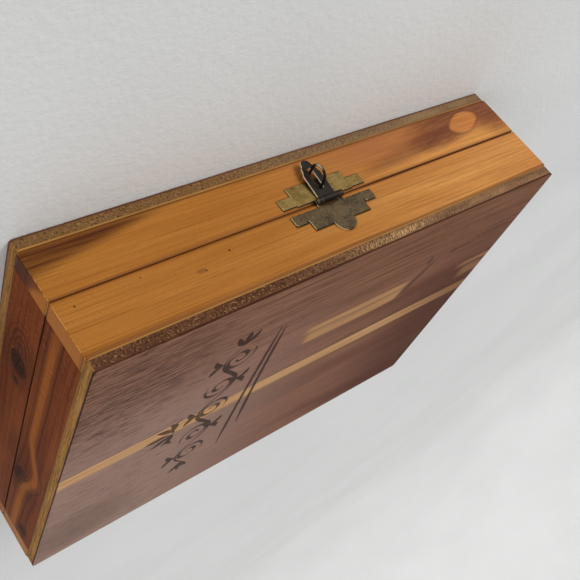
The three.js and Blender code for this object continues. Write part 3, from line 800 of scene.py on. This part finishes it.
def joined(name, meshes, material, smooth=12.0):
    """One object from several meshes, with doubled points merged."""
    bm = bmesh.new()
    for mesh in meshes:
        bm.from_mesh(mesh)
        bpy.data.meshes.remove(mesh)
    bmesh.ops.remove_doubles(bm, verts=bm.verts, dist=DOUBLED)
    return mesh_object(name, mesh_from(name, bm), material, smooth)


def metal_piece(node, body, slot, meshes, material):
    stand_for(joined(node + "_metal", meshes, material), node, body, slot)


SAME_FACE = 0.02 * MM
SAME_PLACE = 0.01 * MM
DOUBLED = 0.002 * MM
STRAIGHT = 0.002  # the sine of the smallest turn that counts as a corner
CURL_THICK = 0.68 * MM
CURL_STEPS = 40
# how strongly curled rims and turned pieces count as edges, which the metal darkens as painted shade and,
# toward the right, brightens as wear and painted highlight
CURL_EDGE_WEIGHT = 0.3
TURNED_EDGE_WEIGHT = 0.25
FACING_FRONT = Matrix.Rotation(pi / 2, 4, "X")  # plate plane to the XZ plane
FACING_BACK = Matrix.Rotation(pi, 4, "Z") @ FACING_FRONT


def curled_knuckle(radius, length, start, turn):
    """A strip curled round the origin, as a prism along X. start and turn are degrees in the YZ plane."""
    outer = arc((0, 0), radius, start, start + turn, CURL_STEPS)
    inner = arc((0, 0), radius - CURL_THICK, start + turn, start, CURL_STEPS)
    mesh = plate_mesh([outer + inner], length)
    rim = length / 2 - METAL_EDGE / 2
    set_edge(mesh, [float(abs(v.co.z) > rim) * CURL_EDGE_WEIGHT for v in mesh.vertices])
    # the outline's plane becomes YZ and its depth X
    mesh.transform(Matrix(((0, 0, 1, 0), (1, 0, 0, 0), (0, 1, 0, 0), (0, 0, 0, 1))))
    return mesh


def turned(name, profile, steps=ROUND_STEPS):
    """A solid of revolution about X from (x, radius) points that start and end on the axis."""
    bm = bmesh.new()
    rings = []
    for x, radius in profile:
        angles = [2 * pi * k / steps for k in range(steps if radius else 1)]
        rings.append([bm.verts.new((x, radius * cos(a), radius * sin(a))) for a in angles])
    for one, two in zip(rings, rings[1:]):
        for k in range(steps):
            m = (k + 1) % steps
            corners = [one[k % len(one)], one[m % len(one)], two[m % len(two)], two[k % len(two)]]
            bm.faces.new(list(dict.fromkeys(corners)))
    mesh = mesh_from(name, bm)
    set_edge(mesh, [TURNED_EDGE_WEIGHT] * len(mesh.vertices))
    return mesh


def pin(node, body, slot, material):
    """A hinge pin along X with slightly domed ends."""
    low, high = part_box(node)
    half = (high.x - low.x) / 2
    radius = (high.z - low.z) / 2
    dome = [(half - radius * 0.4 * (1 - cos(a)), radius * sin(a)) for a in quarter_turns(4)]
    mesh = turned(node + "_metal", [(-x, r) for x, r in dome] + [(x, r) for x, r in reversed(dome)])
    move(mesh, *(low + high) / 2)
    stand_for(mesh_object(node + "_metal", mesh, material), node, body, slot)


def turning_points(loop):
    """The loop without its doubled points and the points along its straight sides."""
    apart = [p for i, p in enumerate(loop) if (p - loop[i - 1]).length > SAME_PLACE]
    count = len(apart)
    found = []
    for i, point in enumerate(apart):
        before, after = point - apart[i - 1], apart[(i + 1) % count] - point
        if abs(before.cross(after)) > STRAIGHT * before.length * after.length:
            found.append(point)
    return found


def face_loops(node, facing):
    """The outlines of a CAD node's widest flat face toward +Z once facing is undone, and its depth there."""
    undo = facing.inverted()
    mesh = frame["nodes"][node].data
    faces = [[mesh.vertices[i].co.copy().freeze() for i in polygon.vertices] for polygon in mesh.polygons]
    widest, depth = 0.0, 0.0
    for corners in faces:
        one, two, three = (undo @ corner for corner in corners[:3])
        normal = (two - one).cross(three - one)
        if normal.z > max(widest, 0.99 * normal.length):
            widest, depth = normal.z, one.z
    edges = set()
    for corners in faces:
        if all(abs((undo @ corner).z - depth) < SAME_FACE for corner in corners):
            edges.update(zip(corners, corners[1:] + corners[:1]))
    onward = {a: b for a, b in edges if (b, a) not in edges}
    loops = []
    while onward:
        start, at = onward.popitem()
        loop = [start]
        while at != start:
            loop.append(at)
            at = onward.pop(at)
        loops.append(turning_points([(undo @ corner).to_2d() for corner in loop]))
    loops.sort(key=lambda loop: min(u for u, _ in loop))
    return loops, depth


def sheet_from(node, facing, thick):
    """A rounded plate over the widest flat face of a CAD node."""
    loops, depth = face_loops(node, facing)
    mesh = plate_mesh(loops, thick)
    move(mesh, 0, 0, depth - thick / 2)
    mesh.transform(facing)
    return mesh


# ==== Clasp ====

HASP_AXIS = Vector(JOINTS["hasp_hinge"]["pos_m"])
STRAP_LIFT = radians(6.6)
HASP_THICK = 0.75 * MM
STRAP_THICK = 0.75 * MM
STAPLE_THICK = 0.55 * MM
CLASP_KNUCKLE = 1.6 * MM
CURL_TURN = 325  # degrees
CURL_START = 25
STRAP_KNUCKLE_LENGTH = 9.9 * MM
KNUCKLE_GAP = 0.15 * MM


def hasp_plate(material):
    low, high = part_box("hasp_pin")
    half_barrel = (high.x - low.x) / 2
    inner = STRAP_KNUCKLE_LENGTH / 2 + 2 * KNUCKLE_GAP
    meshes = [sheet_from("hasp_plate", FACING_FRONT, HASP_THICK)]
    for side in (-1, 1):
        curl = curled_knuckle(CLASP_KNUCKLE, half_barrel - inner, CURL_START, -CURL_TURN)
        move(curl, HASP_AXIS.x + side * (half_barrel + inner) / 2, HASP_AXIS.y, HASP_AXIS.z)
        meshes.append(curl)
    metal_piece("hasp_plate", "lid", "dark_brass", meshes, material)


def hasp_strap(material):
    turn = Matrix.Translation(HASP_AXIS) @ Matrix.Rotation(-STRAP_LIFT, 4, "X")
    sheet = sheet_from("hasp_strap", turn @ FACING_FRONT, STRAP_THICK)
    curl = curled_knuckle(CLASP_KNUCKLE, STRAP_KNUCKLE_LENGTH, -CURL_START, CURL_TURN)
    curl.transform(turn)
    metal_piece("hasp_strap", "hasp", "dark_brass", [sheet, curl], material)


def staple_plate(material):
    sheet = sheet_from("staple_plate", FACING_FRONT, STAPLE_THICK)
    metal_piece("staple_plate", "base", "light_brass", [sheet], material)


def staple_loop(material):
    """Wire out of the plate, round in a half circle and back, with a painted highlight on the bend."""
    low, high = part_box("staple_loop")
    wire = (high.x - low.x) / 2
    radius = (high.z - low.z) / 2 - wire
    middle = (low + high) / 2
    foot, bend = high.y, low.y + radius + wire
    leg = [(foot, radius), ((foot + bend) / 2, radius)]
    path = leg + arc((bend, 0), radius, 90, 270, ROUND_STEPS) + [(y, -z) for y, z in reversed(leg)]
    curve = bpy.data.curves.new("staple_loop_path", "CURVE")
    curve.dimensions = "3D"
    curve.bevel_depth = wire
    curve.bevel_resolution = 6
    curve.use_fill_caps = True
    add_spline(curve, [(middle.x, y, middle.z + z) for y, z in path], closed=False)
    mesh = mesh_from_curve(curve)
    # the painted highlight sits at this point on the bend
    shine = Vector((high.x, low.y, middle.z - 0.3 * radius))
    set_edge(mesh, [0.9 * max(0.0, 1 - (v.co - shine).length / radius * 1.4) for v in mesh.vertices])
    loop = joined("staple_loop_wire", [mesh], material, 60.0)
    stand_for(loop, "staple_loop", "base", "dark_brass")


# ==== Back hinges ====

LEAF_THICK = 0.85 * MM
LEAF_CORNER = 2.0 * MM
LEAF_CLEAR = 1.9 * MM  # from the pin line to where the leaf clears the other leaf's knuckle
LEAF_TAB = 0.4 * MM  # from the pin line to where the leaf meets its own knuckle
NAIL_DOME = 0.6 * MM
NAIL_SHANK = 0.55 * MM
HINGE_AXIS = Vector(JOINTS["lid_hinge"]["pos_m"])
HINGE_KNUCKLE = 1.58 * MM


def leaf_outline(half, reach, side):
    """A hinge leaf from its knuckles to its far edge. v is the distance from the pin line."""
    near, far = (LEAF_TAB, LEAF_CLEAR) if side > 0 else (LEAF_CLEAR, LEAF_TAB)
    step = half / 3 - side * KNUCKLE_GAP
    right = [(step, near), (step, far), (half, far)]
    right += arc((half - LEAF_CORNER, reach - LEAF_CORNER), LEAF_CORNER, 0, 90)
    return right + [(-u, v) for u, v in reversed(right)]


def hinge_leaf(node, body, side, material):
    """side is -1 for the base's leaf, with two outer knuckles, and 1 for the lid's, with the middle one."""
    low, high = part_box(node)
    half = (high.x - low.x) / 2
    middle = (high.x + low.x) / 2
    pitch = half * 2 / 3
    reach = abs((high.z if side > 0 else low.z) - HINGE_AXIS.z)
    sheet = plate_mesh([leaf_outline(half, reach, side)], LEAF_THICK)
    sheet.transform(Matrix.Scale(side, 4, (0, 1, 0)))
    sheet.transform(FACING_BACK)
    move(sheet, middle, low.y + LEAF_THICK / 2, HINGE_AXIS.z)
    meshes = [sheet]
    for step in ((0,) if side > 0 else (-1, 1)):
        start, turn = 180 - side * CURL_START, side * CURL_TURN
        curl = curled_knuckle(HINGE_KNUCKLE, pitch - 2 * KNUCKLE_GAP, start, turn)
        move(curl, middle + step * pitch, HINGE_AXIS.y, HINGE_AXIS.z)
        meshes.append(curl)
    metal_piece(node, body, "hinge_brass", meshes, material)


def hinge_nail(node, body, material):
    """A round-headed nail: a low dome outside the leaf and a pointed shank in the wood."""
    low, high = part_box(node)
    head = (high.x - low.x) / 2
    length = high.y - low.y
    neck = length - NAIL_DOME
    dome = [(length - NAIL_DOME * (1 - cos(a)), head * sin(a)) for a in quarter_turns(8)]
    profile = [(0, 0), (2 * NAIL_SHANK, NAIL_SHANK), (neck - 0.1 * MM, NAIL_SHANK), (neck, head * 0.97)]
    mesh = turned(node + "_metal", profile + list(reversed(dome)), 32)
    # the dome's rim counts as edge, for painted shade and painted highlight
    set_edge(mesh, [min(1.0, (hypot(v.co.y, v.co.z) / head) ** 5) for v in mesh.vertices])
    mesh.transform(Matrix.Rotation(pi / 2, 4, "Z"))
    move(mesh, (low.x + high.x) / 2, low.y, (low.z + high.z) / 2)
    stand_for(mesh_object(node + "_metal", mesh, material), node, body, "hinge_brass")


# ==== Burnt flourish on the lid ====

FLOURISH_MID_Y = -4 * MM
STEM_X = 58 * MM
STEM_REACH = 60 * MM
STEM_SWING = 7 * MM
STEM_WAVE = 48 * MM  # length of one wave of the stem
CURL_RADIUS = 9.2 * MM
LEAF_LENGTH = 11 * MM
STEM_STEPS = 80  # on each side of the stem's middle
RULES = (((34, 57), (37, -65), 0.8), ((27, 37), (34, -64), 1.0))  # start, end and bow, in mm
PEN_THIN = 0.62 * MM
PEN_BROAD = 0.85 * MM
PEN_SLANT = radians(35)
LEAF_BROAD = 1.9 * MM
BURN_RISE = 0.02 * MM
BURN_SINK = 0.03 * MM
BURN_LAYER = 0.001 * MM  # each line lies this much above the one before
BURN_ACROSS = ((-1.0, 0.0), (-0.5, 0.8), (0.0, 1.0), (0.5, 0.8), (1.0, 0.0))  # place and heat
BURN_SPREAD = 1.25


def spiral(centre, radius, start, turns, steps=48):
    """A curl that tightens toward its centre. Angles in radians, turns below 0 for clockwise."""
    found = []
    for k in range(steps + 1):
        t = k / steps
        angle = start + turns * 2 * pi * t
        reach = radius * (1 - 0.82 * t)
        found.append(Vector((centre[0] + reach * cos(angle), centre[1] + reach * sin(angle))))
    return found


def bowed(start, end, bow, steps=24):
    """A stroke from start to end that bows sideways."""
    start, end = Vector(start), Vector(end)
    side = Vector((-(end - start).y, (end - start).x)).normalized()
    return [start.lerp(end, k / steps) + side * bow * sin(pi * k / steps) for k in range(steps + 1)]


def stroke_width(leaf, ahead, i, count):
    """Half the width of a leaf or of a slanted pen's line at point i of count, where it runs toward ahead."""
    if leaf:
        return LEAF_BROAD * sin(pi * i / (count - 1)) ** 0.8 + 0.05 * MM
    slant = atan2(ahead.y, ahead.x) - PEN_SLANT
    taper = min(1.0, 4.0 * min(i, count - 1 - i) / count + 0.3)
    return (PEN_THIN + PEN_BROAD * sin(slant) ** 2) * taper


def curl_and_leaves(number):
    """A curl in a hollow of the stem, and two leaves on the stem's other side."""
    over = 1 if number % 2 else -1
    side = -1 if number < 0 else 1
    middle = (STEM_X + over * 1.5 * MM, FLOURISH_MID_Y + number * STEM_WAVE / 2)
    start = pi / 2 * (1 - over) + over * side * 0.5
    strokes = [(spiral(middle, CURL_RADIUS, start, -over * side * 1.55), False)]
    crest = (STEM_X - over * (STEM_SWING + 0.6 * MM), middle[1])
    for lean in (-1, 1):
        tip = (crest[0] - over * LEAF_LENGTH * 0.55, crest[1] + lean * LEAF_LENGTH * 0.6)
        strokes.append((bowed(crest, tip, lean * over * 1.6 * MM), True))
    return strokes


def fan():
    """Five leaves and two curved stalks above the stem."""
    root = Vector((STEM_X + 19 * MM, FLOURISH_MID_Y + 7 * MM))
    strokes = []
    for spread in (-1.15, -0.6, 0.0, 0.6, 1.15):
        tip = root + Vector((cos(spread), sin(spread))) * (17 - 4 * abs(spread)) * MM
        strokes.append((bowed(root.lerp(tip, 0.15), tip, spread * 1.6 * MM), True))
    for side in (-1, 1):
        far = root + Vector((-1.5 * MM, side * 13 * MM))
        strokes.append((bowed(root, far, -side * 3 * MM), False))
    return strokes


def flourish_strokes():
    """(points, leaf) for each stroke: a waving stem with curls and leaves, a fan and two rules."""
    stem = []
    for k in range(2 * STEM_STEPS + 1):
        along = STEM_REACH * (k / STEM_STEPS - 1)
        swing = STEM_SWING * cos(2 * pi / STEM_WAVE * along)
        stem.append(Vector((STEM_X + swing, FLOURISH_MID_Y + along)))
    strokes = [(stem, False)]
    for number in range(-2, 3):
        strokes += curl_and_leaves(number)
    for side, end in ((-1, stem[0]), (1, stem[-1])):
        for spread in (-0.6, 0.0, 0.6):
            tip = end + Vector((sin(spread), side * cos(spread))) * LEAF_LENGTH
            strokes.append((bowed(end, tip, spread * 1.5 * MM), True))
    strokes += fan()
    for start, end, bow in RULES:
        strokes.append((bowed(Vector(start) * MM, Vector(end) * MM, bow * MM, 60), False))
    return strokes


def burnt_line(points, leaf, order, top, bm, burn):
    """A closed ribbon along points, set in the lid's face."""
    rings = []
    count = len(points)
    for i, point in enumerate(points):
        ahead = (points[min(i + 1, count - 1)] - points[max(i - 1, 0)]).normalized()
        side = Vector((-ahead.y, ahead.x))
        half = stroke_width(leaf, ahead, i, count) * (1 + 0.2 * wobble((*point, 0), 260, order))
        ring = []
        for place, heat in BURN_ACROSS:
            at = point + side * place * half * BURN_SPREAD
            rise = BURN_RISE + order * BURN_LAYER if heat else -BURN_SINK
            ring.append(bm.verts.new((*at, top + rise)))
            burn.append(heat)
        ring.append(bm.verts.new((*point, top - 3 * BURN_SINK)))
        burn.append(0.0)
        rings.append(ring)
    skin(bm, rings)


def flourish(material):
    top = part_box("lid_inlay_strip")[1].z
    bm = bmesh.new()
    burn = []
    for order, (points, leaf) in enumerate(flourish_strokes()):
        burnt_line(points, leaf, order, top, bm, burn)
    mesh = mesh_from("lid_burnt_flourish", bm)
    set_edge(mesh, burn)
    obj = mesh_object("lid_burnt_flourish", mesh, material, 60.0)
    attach(obj, "lid")


# ==== The box ====

def strip_lines():
    """The front and back edge of the light strip as (y where x is 0, slope) pairs, from its CAD outline."""
    points = hull_outline("lid_inlay_strip")
    left = sorted(p.y for p in points if p.x < 0)
    right = sorted(p.y for p in points if p.x > 0)
    length = max(p.x for p in points) * 2
    return [((a + b) / 2, (b - a) / length) for a, b in ((left[0], right[0]), (left[-1], right[-1]))]


STRIP_LINES = strip_lines()


def walls(body, front, back, end):
    """The rows of a body's four boards for wooden_pieces."""
    boards = (
        ("front_board", "cedar_wall", front),
        ("back_board", "cedar_wall", back),
        ("left_end_board", "cedar_end", end),
        ("right_end_board", "cedar_end", end),
    )
    edges = (WOOD_EDGE, WOOD_EDGE)
    return [(f"{body}_{name}", body, slot, material, edges, 0.0) for name, slot, material in boards]


def wooden_pieces():
    face, inner, back = lid_face(), inner_ply(), back_wood()
    lid_core = core_ply("lid_core", ("4a3224", "8e6a4a"), ("b0804a", "86602f"), "44200f", (-18, 60.5))
    base_core = core_ply("base_core", ("5e4632", "866a4a"), ("ac7c4a", "82592f"), "684620")
    ply = (PLY_EDGE, PLY_EDGE)
    pieces = [
        ("base_panel_outer_ply", "base", "cedar_face", base_face(), (PANEL_EDGE, PLY_EDGE), 0.0),
        ("base_panel_core_ply", "base", "ply_core", base_core, ply, CORE_FRAY),
        ("base_panel_inner_ply", "base", "ply_inner", inner, ply, PLY_FRAY),
        *walls("base", front_base_wood(), back, end_base_wood()),
        *walls("lid", front_lid_wood(), back, end_lid_wood()),
        ("lid_panel_inner_ply", "lid", "ply_inner", inner, ply, PLY_FRAY),
        ("lid_panel_core_ply", "lid", "ply_core", lid_core, ply, CORE_FRAY),
        ("lid_face_front_leaf", "lid", "cedar_face", face, ply, 0.0),
        ("lid_inlay_strip", "lid", "strip_wood", face, ply, 0.0),
        ("lid_face_back_leaf", "lid", "cedar_face", face, ply, 0.0),
    ]
    for number, piece in enumerate(pieces):
        wooden(*piece, number * SEED_STEP)


def metal_pieces():
    # around_loop is the strap's painted shadow on the staple plate; around_barrel darkens the hasp plate
    # beside the barrel
    around_barrel = ((0.8, 31.2), (9.5, 2.4))
    around_loop = ((0.8, 18.5), (5.2, 9.5))
    dark = metal("dark_brass", 0.46, 1.0, 0.8, 0.6, 0.8, around_barrel)
    strap = metal("strap_brass", 0.5, 1.0, 0.3, 0.5, 0.35)
    light = metal("light_brass", 0.46, 1.0, 1.0, 0.6, 0.75, around_loop)
    hinge = metal("hinge_brass", 0.4, 0.8, 0.6)
    nail = metal("nail_brass", 0.34, 0.6, 0.2)
    hasp_plate(dark)
    hasp_strap(strap)
    pin("hasp_pin", "lid", "dark_brass", dark)
    staple_plate(light)
    staple_loop(strap)
    for side in ("left", "right"):
        name = f"hinge_{side}"
        hinge_leaf(f"{name}_base_leaf", "base", -1, hinge)
        hinge_leaf(f"{name}_lid_leaf", "lid", 1, hinge)
        pin(f"{name}_pin", "base", "hinge_brass", hinge)
        for body in ("base", "lid"):
            for number in (1, 2):
                hinge_nail(f"{name}_{body}_nail_{number}", body, nail)


# ==== Stage ====

def flag(turn):
    """A dark card that only reflections see. It keeps the pale backdrop's glare off the lid."""
    mesh = bpy.data.meshes.new("flag")
    corners = [(-FLAG_SPAN[0], 0), (-FLAG_SPAN[1], 0), (-FLAG_SPAN[1], 1), (-FLAG_SPAN[0], 1)]
    points = [turn @ Vector((SWEEP_AT, side, FLAG_RISE[top])) for side, top in corners]
    mesh.from_pydata(points, [], [range(4)])
    s = Shader("flag")
    card = mesh_object("flag", mesh, s.surface(FLAG_COLOUR, 0.9))
    card.visible_camera = False
    card.visible_diffuse = False
    card.visible_shadow = False
    card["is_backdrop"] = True


def stage():
    """A pale floor that curves up into a backdrop beyond the box, as the camera sees it."""
    view = (Vector(CAMERA_AIM) - Vector(CAMERA_AT)).to_2d()
    turn = Matrix.Rotation(atan2(view.y, view.x), 3, "Z")
    low = CAD_BOX[0].z - FLOOR_DROP
    profile = [(-FLOOR_NEAR, low), (SWEEP_AT, low)]
    profile += [(SWEEP_AT + u, low + SWEEP_RADIUS + v) for u, v in arc((0, 0), SWEEP_RADIUS, -90, 0, 24)]
    profile.append((SWEEP_AT + SWEEP_RADIUS, low + SWEEP_HEIGHT))
    points = [turn @ Vector((u, side, z)) for side in (-FLOOR_WIDTH / 2, FLOOR_WIDTH / 2) for u, z in profile]
    count = len(profile)
    mesh = bpy.data.meshes.new("floor")
    mesh.from_pydata(points, [], [(i, i + 1, count + i + 1, count + i) for i in range(count - 1)])
    s = Shader("floor")
    fibre = s.mottle(240, 3.0, 0.7)
    colour = s.mix(s.ease(s.mottle(6, 3.0) + fibre * 0.4, 0.4, 1.0), *FLOOR_COLOURS)
    floor = mesh_object("floor", mesh, s.surface(colour, 0.9, fibre, 0.25 * MM, Specular_IOR_Level=0.1))
    floor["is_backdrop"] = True
    flag(turn)


def room():
    """Even pale light from all round."""
    world = bpy.data.worlds.new("room")
    bpy.context.scene.world = world
    world.use_nodes = True
    background = world.node_tree.nodes["Background"]
    background.inputs["Color"].default_value = linear(WORLD_COLOUR)
    background.inputs["Strength"].default_value = WORLD_STRENGTH


def sun(name, toward, strength, softness):
    """An even light that shines toward a direction. softness is its width in degrees."""
    data = bpy.data.lights.new(name, "SUN")
    data.energy = strength
    data.angle = radians(softness)
    lamp = linked(name, data)
    lamp.rotation_euler = Vector(toward).to_track_quat("-Z", "Y").to_euler()


def camera():
    data = bpy.data.cameras.new("camera")
    data.sensor_width = SENSOR_MM
    data.lens = CAMERA_LENS_MM
    data.clip_start = 0.01
    obj = linked("camera", data)
    aim = (Vector(CAMERA_AIM) - Vector(CAMERA_AT)).to_track_quat("-Z", "Y").to_matrix()
    turn = aim @ Matrix.Rotation(CAMERA_ROLL, 3, "Z")
    obj.matrix_world = Matrix.Translation(CAMERA_AT) @ turn.to_4x4()
    bpy.context.scene.camera = obj


wooden_pieces()
metal_pieces()
flourish(burnt_face())
stage()
room()
bpy.context.scene.view_settings.view_transform = "Standard"
sun("key", (0.5, 0.85, -0.24), 2.4, 25)
sun("fill", (-0.9, 0.2, -0.3), 0.5, 30)
camera()

boxes = {"cad": CAD_BOX, "visual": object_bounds()}
{name: [list(corner) for corner in found] for name, found in boxes.items()}
